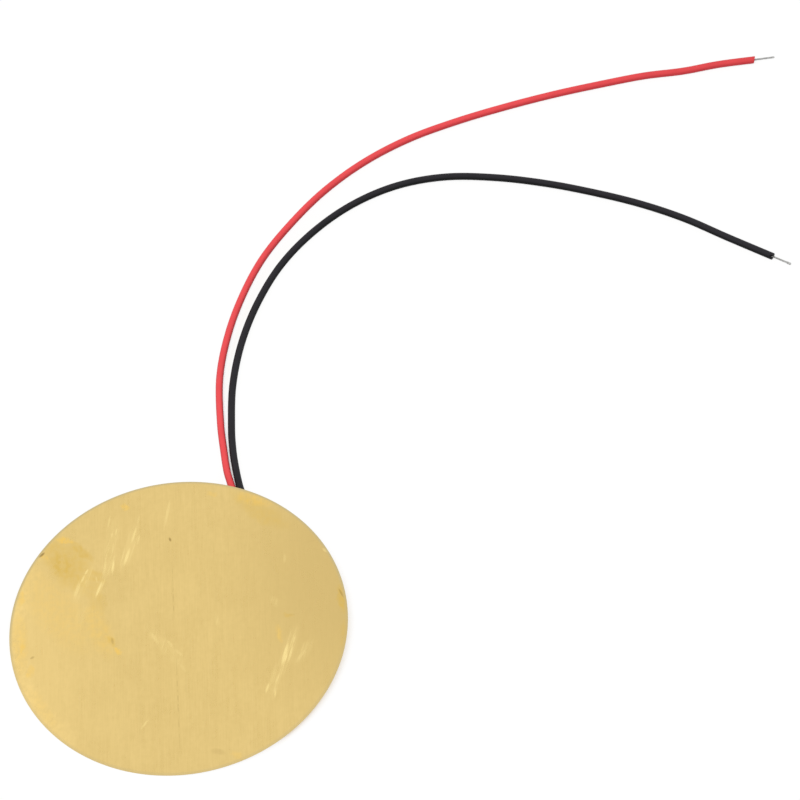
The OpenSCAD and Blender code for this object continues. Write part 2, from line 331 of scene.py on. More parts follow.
class Nodes:
    """The node tree of a material or a world, filled from Python expressions."""

    def __init__(self, tree):
        self.tree = tree
        tree.nodes.clear()

    @staticmethod
    def find(sockets, key):
        if isinstance(key, int):
            return sockets[key]
        return next(s for s in sockets if key in (s.identifier, s.name))

    def add(self, kind, settings=None, inputs=None, output=0):
        """A node of that type, its settings first and then its sockets; gives one of its outputs."""
        node = self.tree.nodes.new("ShaderNode" + kind)
        for name, value in (settings or {}).items():
            setattr(node, name, value)
        for key, value in (inputs or {}).items():
            socket = self.find(node.inputs, key)
            if isinstance(value, Shade):
                self.tree.links.new(value.socket, socket)
            elif socket.type == "RGBA":
                socket.default_value = (*value, 1.0)
            else:
                socket.default_value = value
        return Shade(self, self.find(node.outputs, output)) if node.outputs else None

    def blend(self, a, b, factor):
        """Colour a turned into colour b by a factor."""
        return self.add(
            "Mix",
            {"data_type": "RGBA"},
            {"Factor_Float": factor, "A_Color": a, "B_Color": b},
            "Result_Color",
        )

    @cached_property
    def plan(self):
        """Places in the part's frame, in millimetres."""
        place = self.add("TexCoord", output="Object")
        return self.add("VectorMath", {"operation": "SCALE"}, {"Vector": place, "Scale": 1000.0})

    def noise(self, place=None, scale=1.0, detail=2.0, roughness=0.5, output=0):
        return self.add("TexNoise", {"noise_dimensions": "3D"}, {
            "Vector": place or self.plan, "Scale": scale, "Detail": detail, "Roughness": roughness}, output)

    def local(self, centre, turn, size):
        """Places of the plan about a centre, turned and counted in units of size across and along."""
        return self.add("Mapping", {"vector_type": "TEXTURE"}, {
            "Vector": self.plan, "Location": (*centre, 0), "Rotation": (0, 0, turn), "Scale": (*size, FAR)})

    def away(self, centre, size=(1.0, 1.0)):
        """How far a place of the plan is from a centre, in units of an oval's half sizes."""
        place = self.local(centre, 0, size)
        return self.add("VectorMath", {"operation": "LENGTH"}, {"Vector": place}, "Value")

    def along(self, plan, axis):
        """How far a place lies along an axis of the plan."""
        return self.add(
            "VectorMath", {"operation": "DOT_PRODUCT"}, {0: plan, 1: (*axis, 0)}, "Value")

    def mark(self, plan, start, end, half_width, strength):
        """A soft long mark on the plan, strength in its middle and 0 outside."""
        start, end = Vector(start), Vector(end)
        run = end - start
        middle = (start + end) / 2
        lengthwise = run.normalized() / (run.length / 2 + half_width)
        crosswise = run.orthogonal().normalized() / half_width
        u, v = (self.along(plan, axis) - axis.dot(middle) for axis in (lengthwise, crosswise))
        return (u * u + v * v).step(0.85, 0.0, strength)

    def marks(self, rows, plan=None):
        return reduce(Shade.most, (self.mark(plan or self.plan, *row) for row in rows))

    def ragged(self, size, reach):
        """The plan pushed about by noise, so that a mark drawn on it gets a ragged outline."""
        push = self.noise(scale=1 / size, detail=3.0, output="Color")
        off = self.add("VectorMath", {"operation": "SUBTRACT"}, {0: push, 1: (0.5, 0.5, 0.5)})
        return self.add(
            "VectorMath", {"operation": "MULTIPLY_ADD"}, {0: off, 1: (reach,) * 3, 2: self.plan})


class Finish(Nodes):
    """The nodes of one material."""

    def __init__(self, name):
        self.material = bpy.data.materials.new(name)
        self.material.use_nodes = True
        super().__init__(self.material.node_tree)

    def surface(self, colour, roughness, height, depth, metallic=0.0, specular=0.5):
        """Closes the material with one shader; height runs from 0 to 1 over a depth in metres."""
        normal = self.add("Bump", None, {"Strength": 1.0, "Distance": depth, "Height": height})
        self.show(self.add("BsdfPrincipled", None, {
            "Base Color": colour,
            "Roughness": roughness,
            "Metallic": metallic,
            "Specular IOR Level": specular,
            "Normal": normal,
        }))
        return self.material

    def show(self, shader):
        self.add("OutputMaterial", None, {"Surface": shader})


def brass_face_finish(settings):
    """Rolled brass with its grain, tarnish, scuffs, specks and stains, and painted light: paler towards the
    left, darker towards the right and on the far rim.
    """
    f = Finish("rolled_brass")
    lean = -settings.grain_lean
    fine = f.noise(f.local((0, 0), lean, (0.22, 4.0)), detail=3.0)
    broad = f.noise(f.local((3, 1), lean, (1.1, 26.0)))
    cloud = f.noise(f.local((7, 2), 0, (6.0, 7.0)), detail=3.0, roughness=0.55)
    mottle = f.noise(f.local((1, 9), 0, (0.7, 0.9)))
    scratch = f.noise(f.local((2, 5), -settings.scuff_lean, (0.17, 7.0)))

    radius = f.away((0, 0))
    # Masks of the painted light and shade: towards the left, along the left rim and towards the right
    far_left = f.away((-32, -2), (26.0, 40.0)).step(1.0, 0.2)
    left_rim = f.away((-26, -3), (19.0, 25.0)).step(1.0, 0.4) * radius.step(20.8, 24.2)
    golden = left_rim * (cloud * 0.5 + mottle.step(0.1, 0.9) * 0.5)
    far_right = f.away((26, 5), (24.0, 34.0)).step(1.0, 0.1)
    blotchy = f.ragged(0.8, 1.1)
    tan = f.marks(TARNISH_PATCHES, f.ragged(1.6, 2.2)).most(f.marks(TARNISH_SPOTS, blotchy))
    tone = (fine - 0.5) * 0.8 + (broad - 0.5) * 0.55 + (cloud - 0.5) * 0.8 + (mottle - 0.5) * 0.6 + 0.5

    colour = f.blend(settings.deep, settings.pale, tone.step(0.0, 1.0))
    # Painted light and shade, partly the sheet's own tone: paler brass towards the left and along the left
    # rim, olive brass towards the right
    colour = f.blend(colour, settings.bright, (far_left * 0.35).most(golden))
    colour = f.blend(colour, settings.dull, far_right * (0.45 + cloud * 0.5))
    colour = f.blend(colour, settings.tarnish, tan * (0.2 + mottle.step(0.32, 0.68) * 0.5 + fine * 0.5))

    lines = f.marks(DARK_LINES)
    colour = f.blend(colour, settings.dull, lines * mottle.step(0.36, 0.6))
    hairs = scratch.step(0.5, 0.66)
    haze = f.marks(SCUFF_HAZES) * (0.2 + hairs * 0.6)
    scuffs = (f.marks(BRIGHT_SCUFFS) * (0.75 + hairs * 0.45)).most(haze)
    colour = f.blend(colour, settings.scuff, scuffs)
    stains = f.marks(AMBER_STAINS, blotchy) * (mottle.step(0.3, 0.7) * 0.7 + fine * 0.6)
    colour = f.blend(colour, settings.stain, stains)
    specks = f.marks(DARK_SPECKS)
    colour = f.blend(colour, settings.speck, specks * 0.7)

    # The rim darkened: a little all round, the punched edge's own colour, and more on its far side as
    # painted shade
    edge = radius.step(24.45, 24.9)
    behind = f.away((0, -60)).step(58.0, 72.0)
    colour = f.blend(colour, settings.edge, edge * (0.35 + behind * 0.5))

    roughness = settings.roughness + (tone - 0.5) * 0.12 - scuffs * 0.08 + specks * 0.2 + edge * 0.06
    return f.surface(colour, roughness, fine * 0.7 + mottle * 0.3, settings.grain_depth, metallic=1.0)


def brass_back_finish(settings, joint):
    """The unseen side of the sheet, with the heat tint and the flux round the black lead's joint."""
    f = Finish("rolled_brass_back")
    lean = -settings.grain_lean
    fine = f.noise(f.local((5, 3), lean, (0.22, 4.0)), detail=3.0)
    cloud = f.noise(f.local((4, 8), 0, (5.0, 6.0)), detail=3.0)
    from_joint = f.away(joint.xy / MM) + (cloud - 0.5) * 1.2
    tone = (fine - 0.5) * 0.6 + (cloud - 0.5) * 1.2 + 0.5
    colour = f.blend(settings.deep, settings.pale, tone.step(0.0, 1.0))
    colour = f.blend(colour, settings.dull, from_joint.step(5.5, 2.5) * 0.6)
    colour = f.blend(colour, settings.flux, from_joint.step(2.9, 2.1) * 0.6)
    metallic = 1.0 - from_joint.step(2.7, 2.2) * 0.4
    roughness = settings.roughness + (tone - 0.5) * 0.14
    return f.surface(colour, roughness, fine, settings.grain_depth, metallic)


def ceramic_finish(settings):
    """Lapped ceramic: dull, grey-buff, with fine dark grains."""
    f = Finish("lapped_ceramic")
    grains = f.noise(scale=9.0, detail=3.0)
    clouds = f.noise(scale=0.5)
    colour = f.blend(settings.ceramic, settings.ceramic_dark, grains.step(0.45, 0.8) * 0.7)
    colour = f.blend(colour, settings.adhesive, clouds.step(0.5, 0.9) * 0.25)
    return f.surface(colour, 0.55 + grains * 0.25, grains, 0.006 * MM)


def silver_finish(settings, joint):
    """Fired silver paste: matte, with the print's weave, grey tarnish and flux round the red joint."""
    f = Finish("fired_silver")
    across = f.noise(f.local((0, 0), 0.9, (0.14, 1.2)))
    along = f.noise(f.local((0, 0), 0.9 + math.pi / 2, (0.14, 1.2)))
    clouds = f.noise(f.local((2, 4), 0, (4.0, 4.5)), detail=4.0)
    weave = (across + along) * 0.5
    from_joint = f.away(joint.xy / MM) + (clouds - 0.5) * 1.6
    colour = f.blend(settings.silver, settings.silver_dull, clouds.step(0.35, 0.75) * 0.6)
    colour = f.blend(colour, settings.silver_dull, weave.step(0.5, 0.75) * 0.4)
    colour = f.blend(colour, settings.flux, from_joint.step(3.0, 2.0) * 0.6)
    metallic = 0.95 - from_joint.step(2.8, 2.1) * 0.4
    return f.surface(colour, 0.42 + clouds * 0.16 + weave * 0.1, weave, 0.008 * MM, metallic)


def adhesive_finish(settings):
    """Cured epoxy, amber and unevenly thick."""
    f = Finish("cured_epoxy")
    clouds = f.noise(scale=0.8, detail=3.0)
    colour = f.blend(settings.adhesive, settings.flux, clouds.step(0.35, 0.75) * 0.7)
    return f.surface(colour, 0.25 + clouds * 0.2, clouds, 0.01 * MM)


def solder_finish(settings):
    """Bright solder with soft cooling ripples and dull grains."""
    f = Finish("bright_solder")
    ripple = f.noise(scale=1.6)
    grain = f.noise(scale=14.0)
    colour = f.blend(settings.colour, settings.dull, grain.step(0.4, 0.75) * 0.6)
    roughness = settings.roughness + grain * 0.18
    return f.surface(colour, roughness, ripple * 0.8 + grain * 0.2, settings.ripple, metallic=1.0)


def tin_finish(settings):
    """Tinned strands, grey where the tin is thin."""
    f = Finish("tinned_strands")
    streak = f.noise(scale=3.0, detail=3.0)
    grain = f.noise(scale=18.0)
    colour = f.blend(settings.tin, settings.tin_dull, streak.step(0.35, 0.7))
    colour = f.blend(colour, settings.tin_dull, grain.step(0.5, 0.8) * 0.5)
    return f.surface(colour, 0.28 + grain * 0.2, grain, 0.004 * MM, metallic=1.0)


def sleeve_finish(name, colour, sheen_and_skin, fade):
    """Soft extruded insulation with a satin skin and die lines, its top painted paler as a painted
    highlight.
    """
    f = Finish(name)
    sheen = f.noise(scale=0.35, detail=3.0)
    skin = f.noise(scale=6.0, detail=3.0)
    normal = f.add("NewGeometry", output="Normal")
    # Painted highlight: the higher the normal points, the paler the skin, in patches and less towards the
    # tip
    top = f.add("SeparateXYZ", None, {"Vector": normal}, "Z").step(0.2, 1.0)
    tip = f.along(f.plan, (1.0, 0.0)).step(45.0, 100.0)
    tint = f.blend(colour, sheen_and_skin, top * (0.65 + sheen * 0.6 - tip * fade))
    tint = f.blend(tint, sheen_and_skin, skin.step(0.55, 0.85) * 0.3)
    return f.surface(tint, 0.34 + sheen * 0.16 + skin * 0.08, skin, 0.006 * MM, specular=0.12)


def a_colour(name, about, value):
    return FloatVectorProperty(name=name, description=about, default=value, subtype="COLOR")


def a_place(name, about, value):
    return FloatVectorProperty(name=name, description=about, default=value, subtype="TRANSLATION")


def a_length(name, about, value):
    return FloatProperty(name=name, description=about, default=value, subtype="DISTANCE")


def an_angle(name, about, degrees):
    return FloatProperty(name=name, description=about, default=math.radians(degrees), subtype="ANGLE")


def a_share(name, about, value):
    return FloatProperty(name=name, description=about, default=value, subtype="FACTOR")


class StageSettings(bpy.types.PropertyGroup):
    """Camera, lamp and background."""

    lens: FloatProperty(name="Lens", description="Focal length in millimetres", default=300.0)
    distance: a_length("Distance", "From the camera to its target", 1.0)
    elevation: an_angle("Elevation", "Height of the camera over the table", 55)
    roll: an_angle("Roll", "Turn of the camera about its line of sight", -7)
    target: a_place("Target", "Point on the table in the middle of the picture", (0.03633, 0.03627, 0.0))
    lamp_place: a_place("Lamp", "Middle of the soft lamp", (-0.3, -0.1, 1.0))
    lamp_width: a_length("Lamp width", "Side of the soft lamp", 0.4)
    lamp_power: FloatProperty(
        name="Lamp power", description="Power of the soft lamp", default=2.9, unit="POWER")
    ambient: FloatProperty(name="Ambient", description="Even light from all round", default=0.74)
    floor: a_colour("Floor", "Colour of the floor", (0.92, 0.92, 0.92))
    floor_shade: a_colour("Floor shade", "Tint of the floor close under the brass", (1.0, 0.87, 0.7))
    glow: a_share("Floor glow", "Share of the open floor that shows as plain white", 0.9)
    near_reach: a_length("Near reach", "Within which things that touch the floor shade it", 0.7 * MM)
    far_reach: a_length("Far reach", "Within which things over the floor shade it", 6 * MM)


class LeadSettings(bpy.types.PropertyGroup):
    """Insulation and strands of the leads."""

    diameter: a_length("Diameter", "Over the insulation", 2 * INSULATION_R)
    bore: a_length("Bore", "Radius of the hole for the strands", 0.17 * MM)
    lip: a_length("Lip", "Rounding of the cut ends", 0.06 * MM)
    ring_step: a_length("Ring step", "Distance between rings", 0.4 * MM)
    sides: IntProperty(name="Sides", description="Sides of the insulation", default=28)
    strand_r: a_length("Strand radius", "Radius of one strand", 0.05 * MM)
    twist: a_length("Twist", "Length of one turn of the strands", 5.5 * MM)
    # Each lead's second, paler colour paints a highlight on its top and also tints the skin's die lines
    red: a_colour("Red", "Colour of the red insulation", (0.58, 0.042, 0.05))
    red_worn: a_colour("Red bloom", "Paler red of the skin", (0.9, 0.09, 0.098))
    black: a_colour("Black", "Colour of the black insulation", (0.001, 0.001, 0.0012))
    black_worn: a_colour("Black bloom", "Greyer black of the skin", (0.024, 0.0225, 0.0265))
    tin: a_colour("Tin", "Colour of the tinned strands", (0.55, 0.55, 0.54))
    tin_dull: a_colour("Dull tin", "Colour of dull strands", (0.29, 0.285, 0.275))


class BrassSettings(bpy.types.PropertyGroup):
    """Shape and finish of the diaphragm."""

    edge_r: a_length("Edge radius", "Rolled upper edge", 0.08 * MM)
    wave: a_length("Wave", "Unevenness of the sheet towards its rim", 0.02 * MM)
    shear: a_length("Shear", "Roughness of the punched wall", 0.006 * MM)
    segments: IntProperty(name="Segments", description="Round the rim", default=360)
    roughness: a_share("Roughness", "Of the rolled face", 0.3)
    grain_lean: an_angle("Grain lean", "Of the rolling lines from +Y", 4)
    scuff_lean: an_angle("Scuff lean", "Of the scuffs from +Y", 20.5)
    grain_depth: a_length("Grain depth", "Of the rolling lines", 0.004 * MM)
    pale: a_colour("Pale", "Light brass", (0.815, 0.604, 0.238))
    deep: a_colour("Deep", "Darker brass", (0.73, 0.534, 0.199))
    # bright is also painted light towards the left; dull is also painted shade towards the right, besides
    # the real dark lines and heat tint
    bright: a_colour("Bright", "Clean brass", (0.975, 0.715, 0.278))
    dull: a_colour("Dull", "Olive brass", (0.646, 0.468, 0.174))
    tarnish: a_colour("Tarnish", "Tan tarnish", (0.716, 0.479, 0.105))
    scuff: a_colour("Scuff", "Bare metal of a scuff", (1.0, 0.79, 0.335))
    stain: a_colour("Stain", "Amber stain", (0.925, 0.602, 0.13))
    speck: a_colour("Speck", "Dark speck", (0.26, 0.155, 0.04))
    # Also darkens the far side of the rim as painted shade
    edge: a_colour("Edge", "Punched edge", (0.588, 0.483, 0.247))
    flux: a_colour("Flux", "Dried flux", (0.5, 0.31, 0.08))


class CeramicSettings(bpy.types.PropertyGroup):
    """Shape and finish of the bonded ceramic."""

    segments: IntProperty(name="Segments", description="Round the ceramic", default=720)
    chip: a_length("Chips", "Depth of the chips in its edge", 0.12 * MM)
    spill: a_length("Spill", "Unevenness of the squeezed-out adhesive", 0.12 * MM)
    print_edge: a_length("Print edge", "Unevenness of the silver's edge", 0.04 * MM)
    ceramic: a_colour("Ceramic", "Lapped ceramic", (0.46, 0.41, 0.3))
    ceramic_dark: a_colour("Ceramic grains", "Dark grains", (0.27, 0.24, 0.18))
    silver: a_colour("Silver", "Fired silver", (0.8, 0.8, 0.77))
    silver_dull: a_colour("Dull silver", "Tarnished silver", (0.6, 0.59, 0.55))
    adhesive: a_colour("Adhesive", "Cured epoxy", (0.5, 0.4, 0.22))
    flux: a_colour("Flux", "Dried flux", (0.42, 0.28, 0.1))


class SolderSettings(bpy.types.PropertyGroup):
    """Shape and finish of the solder joints."""

    cap_r: a_length("Cap radius", "Of a dome's round top", 1.3 * MM)
    foot_r: a_length("Foot radius", "Of the hollow foot", 0.4 * MM)
    voxel: a_length("Voxel", "Fineness of the flowed solder", 0.045 * MM)
    ripple: a_length("Ripple", "Depth of the cooling ripples", 0.02 * MM)
    roughness: a_share("Roughness", "Of the solder", 0.2)
    colour: a_colour("Solder", "Bright solder", (0.68, 0.68, 0.69))
    dull: a_colour("Dull solder", "Dull grains", (0.46, 0.46, 0.47))


def span_point(a, b, c, d, t):
    """A point on the smooth span from b to c, with a and d as its neighbours."""
    square = (2 * a - 5 * b + 4 * c - d) * (t * t / 2)
    cube = (3 * b - a - 3 * c + d) * (t ** 3 / 2)
    return b + (c - a) * (t / 2) + square + cube


def lead_line(route, step):
    """Points of the insulated length, about a step apart and none below the table."""
    line = []
    for a, b, c, d in zip(route, route[1:], route[2:], route[3:]):
        count = max(2, round((c - b).length / step))
        for i in range(count):
            p = span_point(a, b, c, d, i / count)
            p.z = max(p.z, INSULATION_R)
            line.append(p)
    line.append(route[-2].copy())
    return line


def straight(start, end, step):
    """Points from start on to just before end."""
    count = max(2, round((end - start).length / step))
    return [start.lerp(end, i / count) for i in range(count)]


def pressed(line, press):
    """A lead's line, moved aside a little where it comes out under the rim."""
    middle = 23.8 * MM
    reach = 3.0 * MM
    return [p + Vector((press * eased(reach, 0.0, abs(p.y - middle)), 0, 0)) for p in line]


class Station:
    """A point of a line with its own axes: heading, side and top."""

    def __init__(self, point, heading):
        self.point = point
        self.heading = heading.normalized()
        self.side = self.heading.cross(Vector((0, 0, 1))).normalized()
        self.top = self.side.cross(self.heading)

    def at(self, side, top, ahead=0.0):
        return self.point + self.side * side + self.top * top + self.heading * ahead

    def ring(self, radius, sides, ahead=0.0, centre=(0.0, 0.0), cut=None):
        """A ring of points; cut gives how far each angle runs on."""
        points = []
        for angle in angles(sides):
            on = cut(angle, radius) if cut else 0.0
            points.append(self.at(
                centre[0] + radius * math.cos(angle), centre[1] + radius * math.sin(angle), ahead + on))
        return points


def stations(line):
    """The stations of a line of points."""
    ends = [line[0] * 2 - line[1], *line, line[-1] * 2 - line[-2]]
    return [Station(b, c - a) for a, b, c in zip(ends, ends[1:], ends[2:])]


def far_cut(lead):
    """How the far end of the insulation was cut: a slant, and a nick from the stripper."""
    nick_at, nick_depth = lead.notch
    nick_half = 0.48

    def cut(angle, radius):
        share = radius / INSULATION_R
        on = share * (lead.slant[0] * math.cos(angle) + lead.slant[1] * math.sin(angle))
        off = abs(math.remainder(angle - nick_at, math.tau))
        return on - nick_depth * max(0.0, 1 - off / nick_half)

    return cut


def sleeve_shell(lead, line, settings):
    """A hollow tube of insulation along a line, with rounded lips at both cuts."""
    shell = Shell()
    places = stations(line)
    first, last = places[0], places[-1]
    radius, bore, lip, sides = settings.diameter / 2, settings.bore, settings.lip, settings.sides
    cut = far_cut(lead)
    soft = 0.3 * lip
    bore_lip = 0.05 * MM
    end = ((bore, bore_lip), (bore + soft, 0), (radius - lip, 0), (radius - soft, soft), (radius, lip))
    clear = 2
    inner_step = 4
    uneven = 0.006
    lumps_per_metre = 400
    rings = [first.ring(r, sides, on) for r, on in end]
    for place in places[clear:-clear]:
        thin = 1 - uneven * (1 + noise.noise(place.point * lumps_per_metre))
        rings.append(place.ring(radius * thin, sides))
    rings += [last.ring(r, sides, -on, cut=cut) for r, on in reversed(end)]
    rings += [place.ring(bore, sides) for place in reversed(places[clear:-clear:inner_step])]
    shell.chain([shell.ring(r) for r in rings], closed=True)
    return shell


def strand_shell(lead, line, settings):
    """Seven twisted strands along a line, fused with tin at the free tip."""
    shell = Shell()
    places = stations(line)
    run = [0.0]
    for a, b in zip(line, line[1:]):
        run.append(run[-1] + (b - a).length)
    r = settings.strand_r
    sides = 10
    outer = 6
    dome = 0.4 * r
    for k in range(outer + 1):
        reach = 0.0 if k == outer else 2 * r
        middles = []
        rings = []
        for place, s in zip(places, run):
            turn = math.tau * (s / settings.twist + k / outer)
            middle = (reach * math.cos(turn), reach * math.sin(turn))
            middles.append(middle)
            rings.append(shell.ring(place.ring(r, sides, centre=middle)))
        shell.chain(rings)
        shell.cap(rings[0], places[0].at(*middles[0], -dome))
        shell.cap(rings[-1], places[-1].at(*middles[-1], dome))
    tinned(shell, places, run, lead, settings)
    return shell


def tinned(shell, places, run, lead, settings):
    """The tin that fills the grooves of the last of the tip and swells at its end."""
    reach = 1.5 * MM
    sides = 36
    lobes = 6
    lobe_share = 0.06
    start_r = 2.2 * settings.strand_r
    end_r = 2.85 * settings.strand_r * lead.tin
    nose_r = 2.0 * settings.strand_r * lead.tin
    back_on, nose_on, tip_on = -0.05 * MM, 0.06 * MM, 0.1 * MM
    start, full = run[-1] - reach, run[-1] - 0.2 * reach
    soaked = [(place, s) for place, s in zip(places, run) if s >= start]
    rings = []
    for place, s in soaked:
        plain_r = start_r + eased(start, full, s) * (end_r - start_r)
        turn = math.tau * s / settings.twist
        points = []
        for angle in angles(sides):
            radius = plain_r * (1 + lobe_share * math.cos(lobes * (angle - turn)))
            points.append(place.at(radius * math.cos(angle), radius * math.sin(angle)))
        rings.append(shell.ring(points))
    shell.chain(rings)
    shell.cap(rings[0], soaked[0][0].at(0, 0, back_on))
    nose = shell.ring(places[-1].ring(nose_r, sides, nose_on))
    shell.band(rings[-1], nose)
    shell.cap(nose, places[-1].at(0, 0, tip_on))


def joint_of(lead):
    """The middle of a lead's joint on the face that it is soldered to."""
    share = SOLDER_SEAT / (SOLDER_SEAT + NEAR_STRIP)
    return lead.route[0].lerp(lead.route[1], share) + UP * DOWN_TO_AXIS


def solder_section(height, cap_r, foot_r, sink):
    """Half section of a dome: a round top that runs out into a hollow foot, sunk a little in the pad."""
    steps = 10
    reach = cap_r + foot_r
    middle = height - cap_r
    sweep = math.acos((foot_r - middle) / reach)
    foot = reach * math.sin(sweep)
    arc = [sweep * i / steps for i in range(steps + 1)]
    hollow = [(foot - foot_r * math.sin(a), foot_r * (1 - math.cos(a))) for a in arc]
    top = [(cap_r * math.sin(a), middle + cap_r * math.cos(a)) for a in reversed(arc[:-1])]
    return [(0.0, -sink), (foot, -sink), *hollow, *top]


def solder_lump(height, settings, seed):
    """A dome and the solder drawn along the wire, in millimetres, the wire along +X."""
    uneven, lobes, drawn = 0.05, 1.1, 0.1
    sink = 0.06
    segments = 96

    def shape(angle, r, z):
        low = 1 - eased(0.35 * height, 0.75 * height, z)
        grow = 1 + low * (uneven * wander(angle, seed, lobes) + drawn * max(0.0, math.cos(angle)) ** 2)
        return Vector((r * grow * math.cos(angle), r * grow * math.sin(angle), z)) / MM

    lump = turned(solder_section(height, settings.cap_r, settings.foot_r, sink * MM), segments, shape)
    sleeve = [(0.0, 0.5), (0.8, 0.42), (1.2, 0.33), (1.6, 0.24), (1.95, 0.185), (2.15, 0.165)]
    start, end = -0.05, 2.2
    sides = 32
    webbing = 0.35
    axis = DOWN_TO_AXIS / MM
    rings = []
    for x, r in sleeve:
        ring = []
        for angle in angles(sides):
            web = 1 + webbing * max(0.0, -math.sin(angle)) * eased(0.16, 0.4, r)
            ring.append(Vector((x, r * math.cos(angle), max(axis + r * web * math.sin(angle), -sink))))
        rings.append(lump.ring(ring))
    lump.chain(rings)
    lump.cap(rings[0], Vector((start, 0, axis)))
    lump.cap(rings[-1], Vector((end, 0, axis)))
    return lump


def flowed(shell, voxel, passes):
    """The mesh of a shell whose lumps have run together."""
    rough = put("solder_lump", shell.mesh())
    melt = rough.modifiers.new("melt", "REMESH")
    melt.mode = "VOXEL"
    melt.voxel_size = voxel
    settle = rough.modifiers.new("settle", "SMOOTH")
    settle.factor = 0.5
    settle.iterations = passes
    mesh = bpy.data.meshes.new_from_object(rough.evaluated_get(bpy.context.evaluated_depsgraph_get()))
    bpy.data.objects.remove(rough)
    return mesh


class PIEZO_OT_set_stage(bpy.types.Operator):
    """Set up the camera, the floor, the lamp and the background"""

    bl_idname = "piezo.set_stage"
    bl_label = "Set the stage"

    def execute(self, context):
        settings = context.scene.piezo_stage
        context.scene.view_settings.view_transform = "Standard"
        self.camera(context.scene, settings)
        self.lamp(settings)
        self.background(context.scene, settings)
        self.floor(settings)
        return {"FINISHED"}

    def camera(self, scene, settings):
        data = bpy.data.cameras.new("photo_camera")
        data.lens = settings.lens
        data.sensor_width = 36.0
        data.clip_start = 0.05
        data.clip_end = 50.0
        camera = put("photo_camera", data)
        back = Vector((0, -math.cos(settings.elevation), math.sin(settings.elevation)))
        up = Vector((0, math.sin(settings.elevation), math.cos(settings.elevation)))
        place = Matrix((Vector((1, 0, 0)), up, back)).transposed().to_4x4()
        place = place @ Matrix.Rotation(settings.roll, 4, "Z")
        place.translation = Vector(settings.target) + back * settings.distance
        camera.matrix_world = place
        scene.camera = camera

    def lamp(self, settings):
        data = bpy.data.lights.new("soft_lamp", "AREA")
        data.shape = "SQUARE"
        data.size = settings.lamp_width
        data.energy = settings.lamp_power
        lamp = put("soft_lamp", data)
        lamp.location = settings.lamp_place
        # Metal mirrors the white room alone, so its colour renders about as written from every side
        lamp.visible_glossy = False
        lamp.rotation_euler = (-Vector(settings.lamp_place)).to_track_quat("-Z", "Y").to_euler()

    def shown(self, nodes):
        """1 for rays that show the background itself, and 0 for those that only light."""
        seen = [nodes.add("LightPath", output=ray) for ray in (
            "Is Camera Ray", "Is Glossy Ray", "Is Transmission Ray")]
        return reduce(Shade.most, seen)

    def background(self, scene, settings):
        world = bpy.data.worlds.new("white_room")
        world.use_nodes = True
        scene.world = world
        nodes = Nodes(world.node_tree)
        lighting = nodes.add("Background", None, {"Strength": settings.ambient, "Color": WHITE})
        white = nodes.add("Background", None, {"Strength": 1.0, "Color": WHITE})
        both = nodes.add("MixShader", None, {0: self.shown(nodes), 1: lighting, 2: white})
        nodes.add("OutputWorld", None, {"Surface": both})

    def floor(self, settings):
        half = 4.0
        below = -0.00001
        shell = Shell()
        corners = shell.ring([Vector((x * half, y * half, below)) for x, y in (
            (-1, -1), (1, -1), (1, 1), (-1, 1))])
        shell.faces.append(tuple(corners))
        floor = put("floor", shell.mesh())
        f = Finish("pale_floor")
        near, far = (
            f.add("AmbientOcclusion", {"samples": 4}, {"Distance": reach}, "AO")
            for reach in (settings.near_reach, settings.far_reach))
        # Painted shade: where things stand over or touch the floor its white glow gives way to its lit
        # matte, and under the brass the glow is dimmed and tinted warm
        under = (near - far).step(0.42, 0.68)
        dimmed = 0.42
        plain_white = 1.03
        tint = f.blend(WHITE, settings.floor_shade, under)
        matte = f.add("BsdfDiffuse", None, {"Color": settings.floor})
        white = f.add("Emission", None, {"Color": tint, "Strength": plain_white})
        glow = far.step(0.08, 0.22) * (1.0 - under * dimmed) * settings.glow
        f.show(f.add("MixShader", None, {0: self.shown(f) * glow, 1: matte, 2: white}))
        floor.data.materials.append(f.material)


